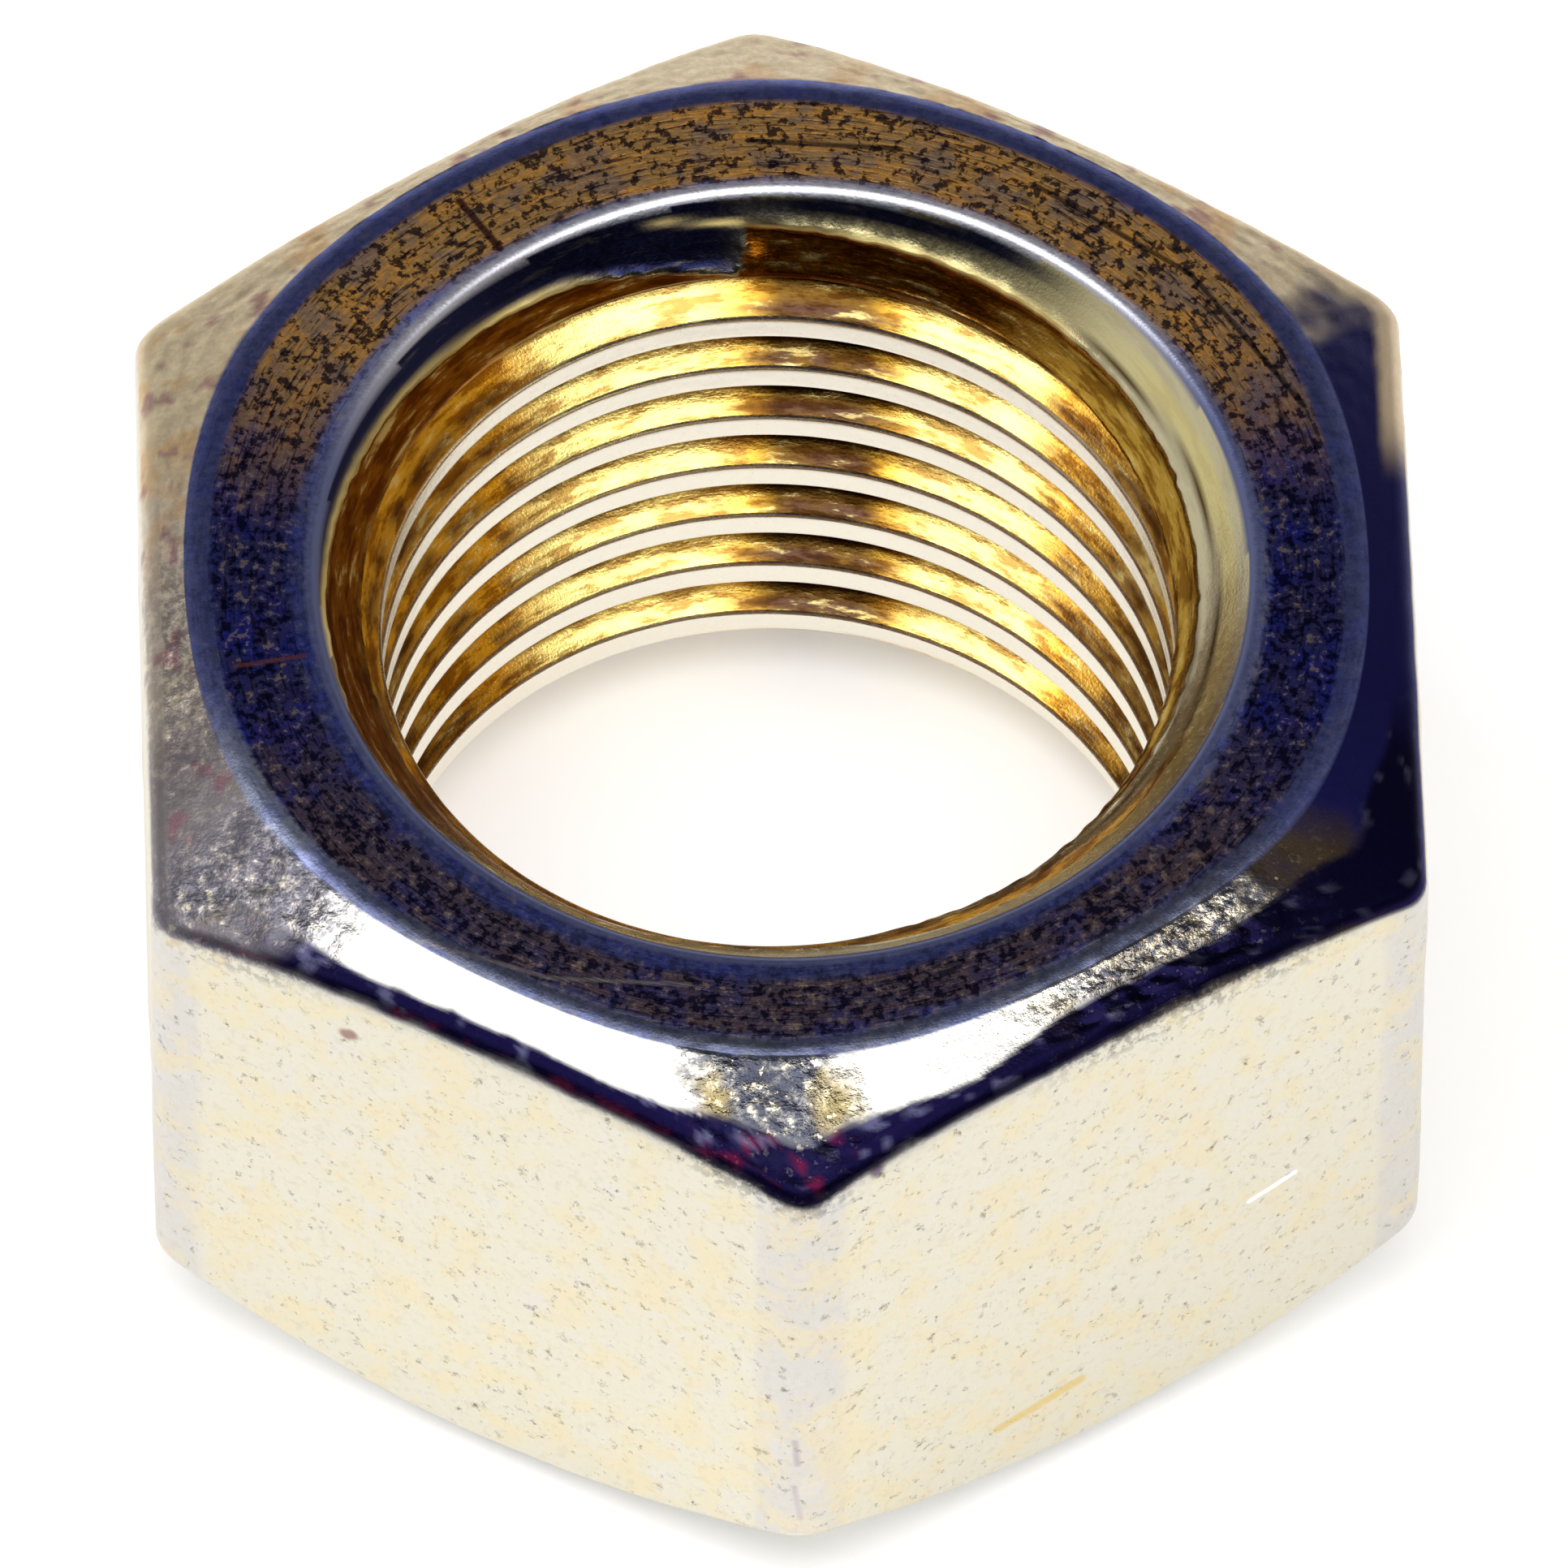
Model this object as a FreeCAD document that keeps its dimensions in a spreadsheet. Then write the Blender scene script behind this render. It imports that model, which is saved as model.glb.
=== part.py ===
# Hexagon nut, 1/2-20 UNF, cold forged with a double chamfer, countersunk at both ends and tapped right-hand.
# The nut is one solid piece of steel, so it is one body: a hexagonal blank, two turned chamfers,
# a drilled hole with a countersink at each end, and one helical thread groove.
#
# Frame: millimetres, +Z up along the thread axis, origin on the axis at the lower bearing face.
# Two of the six flats are square to X, and two of the six corners lie on Y.
import FreeCAD, Part
import os
import math
import Sketcher

doc = FreeCAD.newDocument("HexNut")

# ---------------------------------------------------------------- driving sizes
sizes = doc.addObject("Spreadsheet::Sheet", "Sizes")
TABLE = [
    # alias, value, meaning
    ("acrossflats", 18.80, "distance between opposite flats"),
    ("nutheight", 10.87, "overall height"),
    ("cornerround", 0.60, "radius along the six upright corners, left by forging"),
    ("topfacedia", 17.70, "diameter of the flat upper bearing face"),
    ("topchamferdeg", 26.0, "slope of the upper chamfer below the face plane"),
    ("basefacedia", 17.70, "diameter of the flat lower bearing face"),
    ("basechamferdeg", 34.0, "slope of the lower chamfer"),
    ("minordia", 11.60, "tapped minor diameter, the top of the 2B range"),
    ("majordia", 12.75, "thread major diameter at the root of the groove"),
    ("threadpitch", 1.27, "20 threads per inch"),
    ("sinkdia", 13.90, "mouth diameter of each countersink"),
    ("sinkdeg", 45.0, "countersink wall from the axis, half of 90 degrees"),
    ("threadphase", -0.84, "height of the groove's middle where it starts, on the +X side"),
    ("threadturns", 9.90, "turns cut, run out past both ends"),
    ("rootflat", 0.16, "width of the flat at the root of the groove"),
    ("flankdeg", 30.0, "flank angle, half of 60 degrees"),
    ("toolreach", 0.22, "how far the groove's profile reaches into the open bore"),
]
for row, (alias, value, meaning) in enumerate(TABLE, start=1):
    sizes.set("A%d" % row, meaning)
    sizes.set("B%d" % row, "%.6g" % value)
    sizes.setAlias("B%d" % row, alias)
doc.recompute()


def plane(body, role):
    for feature in body.Origin.OriginFeatures:
        if getattr(feature, "Role", "") == role:
            return feature
    raise RuntimeError("no origin feature " + role)


def sketch_on(body, name, role):
    sk = body.newObject("Sketcher::SketchObject", name)
    sk.AttachmentSupport = [(plane(body, role), "")]
    sk.MapMode = "FlatFace"
    return sk


def closed_loop(sk, points):
    """Line segments through the points, joined end to end and closed. Returns the first line's number."""
    first = None
    count = len(points)
    for i in range(count):
        a, b = points[i], points[(i + 1) % count]
        n = sk.addGeometry(
            Part.LineSegment(
                FreeCAD.Vector(a[0], a[1], 0), FreeCAD.Vector(b[0], b[1], 0)
            ),
            False,
        )
        first = n if first is None else first
    for i in range(count):
        sk.addConstraint(
            Sketcher.Constraint("Coincident", first + i, 2, first + (i + 1) % count, 1)
        )
    return first


def pin_point(sk, line, end, x, y, x_expr, y_expr):
    """Fixes one end of a line from the sketch's origin, each way bound to the sheet."""
    for kind, value, text in (("DistanceX", x, x_expr), ("DistanceY", y, y_expr)):
        # a negative distance is stated as the same length from the point to the origin
        n = sk.addConstraint(Sketcher.Constraint(kind, -1, 1, line, end, value))
        sk.setExpression("Constraints[%d]" % n, text)


values = {alias: value for alias, value, _ in TABLE}
AF, HT = values["acrossflats"], values["nutheight"]

body = doc.addObject("PartDesign::Body", "HexNutBody")
body.Label = "hex_nut"

# ---------------------------------------------------------------- hexagonal blank
hexagon = sketch_on(body, "HexagonSketch", "XY_Plane")
corner = AF / math.sqrt(3.0)
pts = [
    (
        corner * math.cos(math.radians(30 + 60 * i)),
        corner * math.sin(math.radians(30 + 60 * i)),
    )
    for i in range(6)
]
closed_loop(hexagon, pts)
ring = hexagon.addGeometry(
    Part.Circle(FreeCAD.Vector(0, 0, 0), FreeCAD.Vector(0, 0, 1), corner), True
)
hexagon.addConstraint(Sketcher.Constraint("Coincident", ring, 3, -1, 1))
for i in range(6):
    hexagon.addConstraint(Sketcher.Constraint("PointOnObject", i, 1, ring))
for i in range(1, 6):
    hexagon.addConstraint(Sketcher.Constraint("Equal", 0, i))
hexagon.addConstraint(Sketcher.Constraint("Vertical", 5))
n = hexagon.addConstraint(Sketcher.Constraint("Radius", ring, corner))
hexagon.setExpression("Constraints[%d]" % n, "Sizes.acrossflats / sqrt(3)")

blank = body.newObject("PartDesign::Pad", "Blank")
blank.Profile = hexagon
blank.Type = "Length"
blank.setExpression("Length", "Sizes.nutheight")
doc.recompute()
blank_volume = blank.Shape.Volume

# the six upright corners
upright = []
for i, edge in enumerate(blank.Shape.Edges, start=1):
    a, b = edge.Vertexes[0].Point, edge.Vertexes[-1].Point
    if abs(a.z - b.z) > 0.9 * HT and math.hypot(a.x - b.x, a.y - b.y) < 1e-6:
        upright.append("Edge%d" % i)
if len(upright) != 6:
    raise RuntimeError("expected six upright edges, found %d" % len(upright))
rounded = body.newObject("PartDesign::Fillet", "CornerRounds")
rounded.Base = (blank, upright)
rounded.setExpression("Radius", "Sizes.cornerround")
doc.recompute()


def groove(name, points, expressions, turned_volume_above=0.0):
    """Turns a closed triangle or quadrilateral in the XZ plane about Z, and checks that it cut something."""
    before = body.Shape.Volume
    sk = sketch_on(body, name + "Sketch", "XZ_Plane")
    first = closed_loop(sk, points)
    for i, ((x, y), (xe, ye)) in enumerate(zip(points, expressions)):
        pin_point(sk, first + i, 1, x, y, xe, ye)
    doc.recompute()
    g = body.newObject("PartDesign::Groove", name)
    g.Profile = sk
    g.ReferenceAxis = (sk, ["V_Axis"])
    g.Angle = 360.0
    doc.recompute()
    after = body.Shape.Volume
    if not after < before - turned_volume_above:
        raise RuntimeError("%s cut nothing: %.3f to %.3f" % (name, before, after))
    return g


# ---------------------------------------------------------------- outer chamfers
OUT = 14.0  # past the corners
rt, rb = values["topfacedia"] / 2, values["basefacedia"] / 2
tt = math.tan(math.radians(values["topchamferdeg"]))
tb = math.tan(math.radians(values["basechamferdeg"]))
groove(
    "TopChamfer",
    [(rt, HT), (OUT, HT - (OUT - rt) * tt), (OUT, HT + 1.0), (rt, HT + 1.0)],
    [
        ("Sizes.topfacedia / 2", "Sizes.nutheight"),
        (
            "14",
            "Sizes.nutheight - (14 - Sizes.topfacedia / 2) * tan(Sizes.topchamferdeg * 1 deg)",
        ),
        ("14", "Sizes.nutheight + 1"),
        ("Sizes.topfacedia / 2", "Sizes.nutheight + 1"),
    ],
)
groove(
    "BaseChamfer",
    [(rb, 0.0), (rb, -1.0), (OUT, -1.0), (OUT, (OUT - rb) * tb)],
    [
        ("Sizes.basefacedia / 2", "0"),
        ("Sizes.basefacedia / 2", "-1"),
        ("14", "-1"),
        ("14", "(14 - Sizes.basefacedia / 2) * tan(Sizes.basechamferdeg * 1 deg)"),
    ],
)

# ---------------------------------------------------------------- drilled hole, at the tapped minor diameter
drill = sketch_on(body, "DrillSketch", "XY_Plane")
c = drill.addGeometry(
    Part.Circle(
        FreeCAD.Vector(0, 0, 0), FreeCAD.Vector(0, 0, 1), values["minordia"] / 2
    ),
    False,
)
drill.addConstraint(Sketcher.Constraint("Coincident", c, 3, -1, 1))
n = drill.addConstraint(Sketcher.Constraint("Radius", c, values["minordia"] / 2))
drill.setExpression("Constraints[%d]" % n, "Sizes.minordia / 2")
doc.recompute()
before = body.Shape.Volume
hole = body.newObject("PartDesign::Pocket", "DrilledHole")
hole.Profile = drill
hole.Type = "ThroughAll"
hole.Midplane = True
doc.recompute()
drilled = before - body.Shape.Volume
expected = math.pi * (values["minordia"] / 2) ** 2 * HT
if abs(drilled - expected) > 0.01 * expected:
    raise RuntimeError("drilled hole removed %.2f, expected %.2f" % (drilled, expected))

# ---------------------------------------------------------------- countersinks
rs, cot = values["sinkdia"] / 2, 1.0 / math.tan(math.radians(values["sinkdeg"]))
INN = 4.0
groove(
    "TopCountersink",
    [(rs, HT), (rs, HT + 1.0), (INN, HT + 1.0), (INN, HT - (rs - INN) * cot)],
    [
        ("Sizes.sinkdia / 2", "Sizes.nutheight"),
        ("Sizes.sinkdia / 2", "Sizes.nutheight + 1"),
        ("4", "Sizes.nutheight + 1"),
        (
            "4",
            "Sizes.nutheight - (Sizes.sinkdia / 2 - 4) / tan(Sizes.sinkdeg * 1 deg)",
        ),
    ],
)
groove(
    "BaseCountersink",
    [(rs, 0.0), (INN, (rs - INN) * cot), (INN, -1.0), (rs, -1.0)],
    [
        ("Sizes.sinkdia / 2", "0"),
        ("4", "(Sizes.sinkdia / 2 - 4) / tan(Sizes.sinkdeg * 1 deg)"),
        ("4", "-1"),
        ("Sizes.sinkdia / 2", "-1"),
    ],
)

# ---------------------------------------------------------------- thread groove, one helical cut
before = body.Shape.Volume
r_in = values["minordia"] / 2 - values["toolreach"]
r_root = values["majordia"] / 2
half_root = values["rootflat"] / 2
half_in = half_root + (r_root - r_in) * math.tan(math.radians(values["flankdeg"]))
z0 = values["threadphase"]
form = sketch_on(body, "ThreadForm", "XZ_Plane")
corners = [
    (r_in, z0 - half_in),
    (r_root, z0 - half_root),
    (r_root, z0 + half_root),
    (r_in, z0 + half_in),
]
rin_x = "Sizes.minordia / 2 - Sizes.toolreach"
root_x = "Sizes.majordia / 2"
half_in_x = "(Sizes.rootflat / 2 + (Sizes.majordia / 2 - Sizes.minordia / 2 + Sizes.toolreach) * tan(Sizes.flankdeg * 1 deg))"
exprs = [
    (rin_x, "Sizes.threadphase - " + half_in_x),
    (root_x, "Sizes.threadphase - Sizes.rootflat / 2"),
    (root_x, "Sizes.threadphase + Sizes.rootflat / 2"),
    (rin_x, "Sizes.threadphase + " + half_in_x),
]
first = closed_loop(form, corners)
for i, ((x, y), (xe, ye)) in enumerate(zip(corners, exprs)):
    pin_point(form, first + i, 1, x, y, xe, ye)
doc.recompute()
thread = body.newObject("PartDesign::SubtractiveHelix", "ThreadGroove")
thread.Profile = form
thread.ReferenceAxis = (form, ["V_Axis"])
thread.Mode = 1  # pitch and turns
thread.setExpression("Pitch", "Sizes.threadpitch")
thread.setExpression("Turns", "Sizes.threadturns")
thread.Angle = 0
thread.Growth = 0
thread.LeftHanded = False
thread.Reversed = False
# the crest lands keep the drilled wall's seam, so each turn of the land is a face of its own
thread.Refine = False
doc.recompute()
removed = before - body.Shape.Volume
print("thread groove removed %.2f mm3" % removed)
if removed < 50.0:
    raise RuntimeError("the thread groove cut only %.3f mm3" % removed)

body.Placement = FreeCAD.Placement(
    FreeCAD.Vector(0, 0, 0), FreeCAD.Rotation(FreeCAD.Vector(0, 0, 1), 0)
)
doc.recompute()

# ---------------------------------------------------------------- checks and export
NODES = {"hex_nut": body}
for obj in doc.Objects:
    if any(word in ("Invalid", "Error") for word in obj.State):
        raise RuntimeError("%s failed: %s" % (obj.Name, obj.State))
for name, obj in NODES.items():
    shape = obj.Shape
    if shape.isNull() or not shape.isValid():
        raise RuntimeError(name + " has no valid shape")
    if len(shape.Solids) != 1:
        raise RuntimeError("%s has %d solids" % (name, len(shape.Solids)))
    if obj.Label != name:
        raise RuntimeError("label %s is not %s" % (obj.Label, name))

os.makedirs("parts", exist_ok=True)
for name, obj in NODES.items():
    obj.Shape.exportStep(os.path.join("parts", name + ".step"))
    box = obj.Shape.BoundBox
    print(
        "%s volume %.2f mm3, box %.3f x %.3f x %.3f, z %.3f to %.3f"
        % (
            name,
            obj.Shape.Volume,
            box.XLength,
            box.YLength,
            box.ZLength,
            box.ZMin,
            box.ZMax,
        )
    )
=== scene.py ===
import math

import bpy
import numpy as np
from mathutils import Matrix, Vector


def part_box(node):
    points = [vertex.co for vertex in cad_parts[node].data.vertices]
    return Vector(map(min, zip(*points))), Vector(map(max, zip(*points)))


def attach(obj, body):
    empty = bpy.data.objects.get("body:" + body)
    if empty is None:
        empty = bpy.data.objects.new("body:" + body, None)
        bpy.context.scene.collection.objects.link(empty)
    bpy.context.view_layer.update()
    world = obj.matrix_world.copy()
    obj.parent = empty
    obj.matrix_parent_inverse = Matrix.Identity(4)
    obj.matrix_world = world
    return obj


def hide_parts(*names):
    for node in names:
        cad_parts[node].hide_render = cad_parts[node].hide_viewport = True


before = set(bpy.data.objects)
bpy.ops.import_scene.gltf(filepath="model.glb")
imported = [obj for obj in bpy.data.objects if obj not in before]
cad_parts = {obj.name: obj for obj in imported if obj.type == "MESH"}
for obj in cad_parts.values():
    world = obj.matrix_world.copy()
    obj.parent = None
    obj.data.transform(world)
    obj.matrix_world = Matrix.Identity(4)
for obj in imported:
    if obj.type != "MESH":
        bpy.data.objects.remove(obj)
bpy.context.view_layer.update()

# ------------------------------------------------------------------ sizes, millimetres
lo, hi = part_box("hex_nut")
HALF = round((hi.x - lo.x) * 500.0, 4)      # half the distance across flats
HT = round((hi.z - lo.z) * 1000.0, 4)       # height
PITCH = 1.27
R_MINOR = 5.87
R_ROOT = 6.50
SINK_R = 6.95
GROOVE_Z = -0.90                            # height of the groove's middle on the +X side
RIM_BASE = 8.90
SLOPE_BASE = math.radians(37.0)
UPRIGHT = 0.62                              # rounding of the six upright edges
SINK_X, SINK_Y = 0.08, 0.10                 # the countersink was struck a little off the tapped axis

COLS = 540                                  # columns round the nut


# ------------------------------------------------------------------ seeded noise on points
def _hash(ix, iy, iz, seed):
    h = (
        ix.astype(np.int64) * 374761393
        + iy.astype(np.int64) * 668265263
        + iz.astype(np.int64) * 2147483647
        + seed * 1274126177
    ) & 0xFFFFFFFF
    h = ((h ^ (h >> 13)) * 1274126177) & 0xFFFFFFFF
    h = ((h ^ (h >> 16)) * 2246822519) & 0xFFFFFFFF
    return ((h ^ (h >> 15)) & 0xFFFFFF) / float(0xFFFFFF)


def vnoise(p, seed=0):
    """Smooth value noise from -1 to 1 at each row of p."""
    f = np.floor(p)
    t = p - f
    t = t * t * (3 - 2 * t)
    i = f.astype(np.int64)
    out = np.zeros(len(p))
    for dx in (0, 1):
        for dy in (0, 1):
            for dz in (0, 1):
                w = (
                    (t[:, 0] if dx else 1 - t[:, 0])
                    * (t[:, 1] if dy else 1 - t[:, 1])
                    * (t[:, 2] if dz else 1 - t[:, 2])
                )
                out += w * _hash(i[:, 0] + dx, i[:, 1] + dy, i[:, 2] + dz, seed)
    return out * 2 - 1


def fbm(p, octaves=3, seed=0):
    out, amp, total = np.zeros(len(p)), 1.0, 0.0
    for o in range(octaves):
        out += amp * vnoise(p * (2.03**o) + 17.3 * o, seed + 31 * o)
        total += amp
        amp *= 0.5
    return out / total


def smooth(x, a, b):
    t = np.clip((x - a) / (b - a), 0, 1)
    return t * t * (3 - 2 * t)


def bell(x, centre, width):
    return np.exp(-(((x - centre) / width) ** 2))


def angle_from(theta, centre_deg):
    """Signed angle in degrees from centre_deg, within 180 either way."""
    return (np.degrees(theta) - centre_deg + 180.0) % 360.0 - 180.0


def arc_mask(theta, a, b, soft=5.0):
    """1 between the angles a and b in degrees, counted anticlockwise, with soft ends."""
    mid, half = (a + b) / 2.0, (b - a) / 2.0
    d = np.abs(angle_from(theta, mid))
    return 1 - smooth(d, half - soft, half + soft)


# ------------------------------------------------------------------ outer section, one for each angle
def hex_radius(t, cr):
    a = np.abs((t + math.pi / 6) % (math.pi / 3) - math.pi / 6)
    flat = HALF / np.cos(a)
    dc = (HALF - cr) / math.cos(math.pi / 6)
    at = math.atan2(dc * 0.5, dc * math.cos(math.pi / 6) + cr)
    b = math.pi / 6 - a
    disc = np.maximum(cr**2 - (dc * np.sin(b)) ** 2, 0)
    return np.where(a > at, dc * np.cos(b) + np.sqrt(disc), flat)


def fillet(A, B, C, radius, steps):
    """Points of the arc that rounds corner B of the line A, B, C, for every column at once."""
    u, v = A - B, C - B
    lu = np.linalg.norm(u, axis=1, keepdims=True)
    lv = np.linalg.norm(v, axis=1, keepdims=True)
    u, v = u / lu, v / lv
    half = np.arccos(np.clip((u * v).sum(1, keepdims=True), -1, 1)) / 2
    t = np.minimum(radius / np.tan(half), np.minimum(lu, lv) * 0.60)
    rr = t * np.tan(half)
    bis = u + v
    bis /= np.linalg.norm(bis, axis=1, keepdims=True)
    cen = B + bis * rr / np.sin(half)
    s, e = B + u * t - cen, B + v * t - cen
    a0, a1 = np.arctan2(s[:, 1], s[:, 0]), np.arctan2(e[:, 1], e[:, 0])
    da = (a1 - a0 + math.pi) % (2 * math.pi) - math.pi
    return [
        cen + rr * np.stack([np.cos(a0 + da * k / steps), np.sin(a0 + da * k / steps)], 1)
        for k in range(steps + 1)
    ]


def between(a, b, count):
    """count points strictly between a and b, evenly spaced."""
    return [a + (b - a) * (k / (count + 1.0)) for k in range(1, count + 1)]


theta = np.arange(COLS) * (2 * math.pi / COLS)
one = np.ones(COLS)


def sink_radius(t, z, top=True):
    """Countersink wall's distance from the tapped axis at angle t and height z."""
    depth = (HT - z) if top else z
    rc = SINK_R - depth
    ex, ey = (SINK_X, SINK_Y) if top else (-0.05, 0.04)
    along = ex * np.cos(t) + ey * np.sin(t)
    across = -ex * np.sin(t) + ey * np.cos(t)
    return along + np.sqrt(np.maximum(rc**2 - across**2, 0.01)) * np.sign(rc)


def pt(r, z):
    return np.stack([r * one, z * one], 1)


R = hex_radius(theta, UPRIGHT)
mouth_top, mouth_base = sink_radius(theta, HT, True), sink_radius(theta, 0.0, False)
P_in_top = pt(mouth_top, HT)
# outer edge of the turned ring every 30 degrees: it reaches further out over the corners than over the
# flats, and the forging's flats lie a little off the turned ring's centre
RIM_AT = [8.67, 8.93, 8.87, 9.05, 8.87, 8.98, 8.72, 8.68, 8.36, 8.55, 8.29, 8.69]


def periodic(values, t):
    c = np.fft.rfft(values) / len(values)
    out = np.full_like(t, c[0].real)
    for k in range(1, len(c)):
        w = 1.0 if 2 * k == len(values) else 2.0
        out += w * (c[k].real * np.cos(k * t) - c[k].imag * np.sin(k * t))
    return out


rim_end = periodic(RIM_AT, theta)
rim_col = rim_end - 0.12
slope_col = np.radians(24.0 + 7.0 * np.sin(theta))
P_rim_top = np.stack([rim_col, HT * one], 1)
P_sh_top = np.stack([R, HT - (R - rim_col) * np.tan(slope_col)], 1)
P_sh_base = np.stack([R, (R - RIM_BASE) * math.tan(SLOPE_BASE)], 1)
P_rim_base = pt(RIM_BASE, 0.0)
P_in_base = pt(mouth_base, 0.0)
LIP = 0.22
P_cone_top = np.stack([mouth_top - 1.0, HT * one - 1.0], 1)
P_cone_base = np.stack([mouth_base - 1.0, 1.0 * one], 1)

corner_share = smooth(R, HALF + 0.15, HALF * 1.13)   # 0 at a flat's middle, 1 at an upright edge
rows, kind = [], []      # outer rows from the top mouth round to the base mouth; kind names each row's zone


def add(points, name):
    for q in points:
        rows.append(q)
        kind.append(name)


lip_top = fillet(P_cone_top, P_in_top, P_rim_top, LIP, 6)
add(lip_top, "lip")
rim_top = fillet(P_in_top, P_rim_top, P_sh_top, 0.80, 7)
add(between(lip_top[-1], rim_top[0], 17), "face")
add(rim_top, "rim")
shoulder_top = fillet(P_rim_top, P_sh_top, P_sh_base, 0.46, 11)
add(between(rim_top[-1], shoulder_top[0], 18), "chamfer")
add(shoulder_top, "shoulder")
shoulder_base = fillet(P_sh_top, P_sh_base, P_rim_base, 0.44, 6)
add(between(shoulder_top[-1], shoulder_base[0], 44), "flat")
add(shoulder_base, "shoulder_base")
rim_base = fillet(P_sh_base, P_rim_base, P_in_base, 0.40, 4)
add(between(shoulder_base[-1], rim_base[0], 9), "chamfer_base")
add(rim_base, "rim_base")
lip_base = fillet(P_rim_base, P_in_base, P_cone_base, LIP, 5)
add(between(rim_base[-1], lip_base[0], 12), "face_base")
add(lip_base, "lip_base")
n_outer = len(rows)
outer = np.stack(rows, 0)                   # rows, columns, (r, z)


# ------------------------------------------------------------------ bore wall
def groove_offset(t, z):
    """Signed distance along the axis from the middle of the nearest thread groove."""
    u = (z - GROOVE_Z) / PITCH - t / (2 * math.pi)
    return (u - np.round(u)) * PITCH


def smax(a, b, k):
    h = np.maximum(k - np.abs(a - b), 0) / k
    return np.maximum(a, b) + h * h * k * 0.25


def smin(a, b, k):
    return -smax(-a, -b, k)


def thread_radius(d):
    d = np.abs(d)
    flank = R_ROOT - (d - 0.07) * (R_ROOT - R_MINOR) / (0.415 - 0.07)
    r = smax(smin(flank, R_ROOT * np.ones_like(d), 0.09), R_MINOR * np.ones_like(d), 0.05)
    return r


# depth below the face at which the tap's run-out line crosses the countersink, by angle in degrees
RUN_A = [-150, -110, -70, -40, -20, 5, 40, 71, 80, 92.0, 93.5, 105, 116, 150, 186, 200, 210]
RUN_S = [0.05, 0.25, 0.65, 0.95, 0.88, 0.77, 0.63, 0.50, 0.45, 0.36, 0.88, 0.74, 0.55, 0.33, 0.12, 0.06, 0.05]


def run_out(t):
    a = (np.degrees(t) + 150.0) % 360.0 - 150.0
    return np.interp(a, RUN_A, RUN_S)


def bore_radius(t, z):
    """(radius, how far the thread stands out of the countersink) at angle t and height z."""
    th = thread_radius(groove_offset(t, z))
    top, base = sink_radius(t, z, True), sink_radius(t, z, False)
    sink = np.maximum(top, base)
    return smax(th, sink, 0.05), th - sink


z_top, z_base = lip_top[0][:, 1], lip_base[-1][:, 1]
# heights of the grid's rows within one pitch, from the groove's middle, closest together at the edges
ds = [0.0, 0.065, 0.10, 0.17, 0.25, 0.33, 0.385, 0.415, 0.445, 0.50, 0.565, 0.60, 0.635]
phase = sorted(set([round(d / PITCH, 6) for d in ds] + [round(1 - d / PITCH, 6) for d in ds[1:-1]]))
n_ph = len(phase)
turn0, turn1 = -2, 11
helix = []                                  # (turn, phase) rows, bottom to top
for k in range(turn0, turn1):
    for ph in phase:
        helix.append(k + ph)
helix = np.array(helix)
n_helix = len(helix)

verts_r, verts_z, verts_t, verts_kind = [], [], [], []
ids_outer = np.arange(n_outer * COLS).reshape(n_outer, COLS)
verts_t.append(np.tile(theta, n_outer))
verts_r.append(outer[:, :, 0].ravel())
verts_z.append(outer[:, :, 1].ravel())
count = n_outer * COLS
top_id, base_id = ids_outer[0], ids_outer[-1]

grid = np.full((n_helix, COLS + 1), -1, np.int64)
new_r, new_z, new_t, new_gap = [], [], [], []
snap = 0.018
for c in range(COLS):
    z = GROOVE_Z + PITCH * (helix + theta[c] / (2 * math.pi))
    above, below = z > z_top[c] - snap, z < z_base[c] + snap
    grid[above, c] = top_id[c]
    grid[below, c] = base_id[c]
    inside = ~(above | below)
    n = int(inside.sum())
    grid[inside, c] = count + np.arange(n)
    count += n
    new_z.append(z[inside])
    new_t.append(np.full(n, theta[c]))
new_z, new_t = np.concatenate(new_z), np.concatenate(new_t)
new_r, new_gap = bore_radius(new_t, new_z)
verts_r.append(new_r)
verts_z.append(new_z)
verts_t.append(new_t)
# the last column is the first one, one turn further up the helix
grid[:-n_ph, COLS] = grid[n_ph:, 0]
grid[-n_ph:, COLS] = top_id[0]

r = np.concatenate(verts_r)
z = np.concatenate(verts_z)
t = np.concatenate(verts_t)
NV = len(r)
zone = np.array([k for k in kind for _ in range(COLS)] + ["bore"] * len(new_z))
gap = np.concatenate([np.zeros(n_outer * COLS), new_gap])
corner = np.concatenate([np.tile(corner_share, n_outer), np.zeros(len(new_z))])

quads, tris = [], []
nxt = (np.arange(COLS) + 1) % COLS
for k in range(n_outer - 1):
    a, b = ids_outer[k], ids_outer[k + 1]
    quads.append(np.stack([a, b, b[nxt], a[nxt]], 1))
for k in range(n_helix - 1):
    a, b, c_, d_ = grid[k, :-1], grid[k, 1:], grid[k + 1, 1:], grid[k + 1, :-1]
    flat_a, flat_b = a == d_, b == c_
    q = ~flat_a & ~flat_b
    quads.append(np.stack([a, d_, c_, b], 1)[q])
    m = flat_a & ~flat_b
    tris.append(np.stack([a, c_, b], 1)[m])
    m = flat_b & ~flat_a
    tris.append(np.stack([a, d_, b], 1)[m])
quads = np.concatenate(quads)
tris = np.concatenate(tris)

# ------------------------------------------------------------------ surface relief, in the mesh
x, y = r * np.cos(t), r * np.sin(t)
P = np.stack([x, y, z], 1)
is_ = {k: zone == k for k in set(kind) | {"bore"}}
ring = np.stack([np.cos(t) * 7, np.sin(t) * 7, z], 1)

# forged flats: long shallow waves
flat_like = (is_["flat"] | is_["shoulder"] | is_["shoulder_base"]).astype(float)
wave = 0.020 * fbm(P * 0.55, 3, 5) + 0.010 * fbm(P * 2.1, 2, 6)
r = r + flat_like * wave
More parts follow.
